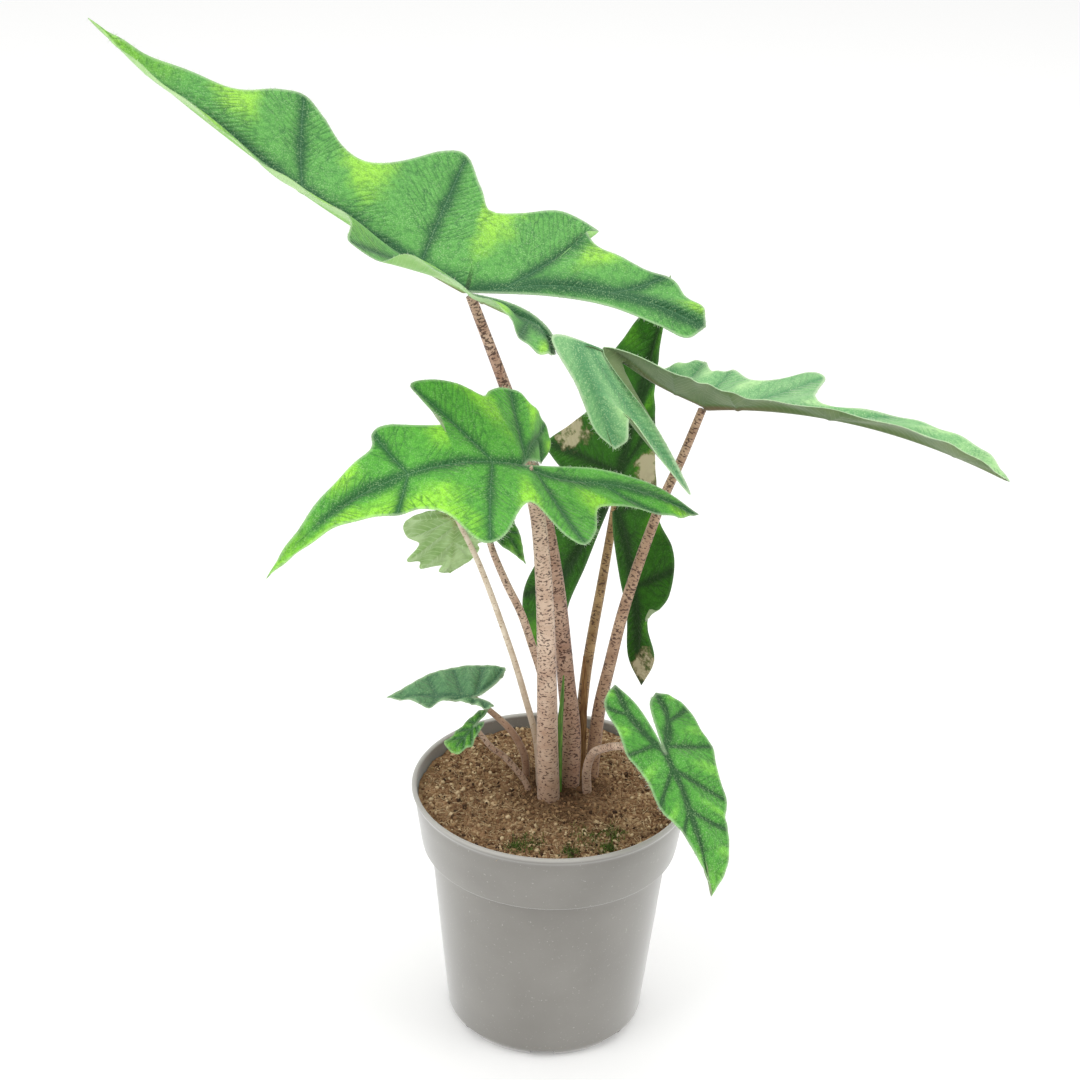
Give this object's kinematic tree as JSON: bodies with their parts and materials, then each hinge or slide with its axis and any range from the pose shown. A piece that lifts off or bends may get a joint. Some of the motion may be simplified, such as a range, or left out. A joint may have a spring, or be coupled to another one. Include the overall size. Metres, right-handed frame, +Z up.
{
  "type": "potted alocasia",
  "caption": "Alocasia with large lobed, arrow-shaped, dark-veined leaves on tall speckled petioles, growing in a tapered plastic grower's pot filled with soil.",
  "frame": {"origin": "middle of the pot's flat underside", "axes": "+Z up the pot's axis, -Y towards the side that the picture shows, +X to its right"},
  "size_m": [0.3653, 0.1682, 0.4218],
  "materials": {
    "pot": "satin",
    "soil": "matte",
    "corm": "matte",
    "leaf": "satin",
    "petiole": "satin",
    "new_leaf": "satin",
    "sheath": "matte"
  },
  "bodies": {
    "root": {"pot": "pot", "soil": "soil", "corm": "corm", "blade_top": "leaf", "petiole_top": "petiole", "blade_left": "leaf", "petiole_left": "petiole", "blade_right": "leaf", "petiole_right": "petiole", "blade_back": "leaf", "petiole_back": "petiole", "blade_torn": "leaf", "petiole_torn": "petiole", "blade_behind": "leaf", "petiole_behind": "petiole", "blade_low": "leaf", "petiole_low": "petiole", "blade_lowest": "leaf", "petiole_lowest": "petiole", "blade_rim": "leaf", "petiole_rim": "petiole", "new_leaf": "new_leaf", "sheath": "sheath"}
  },
  "joints": []
}
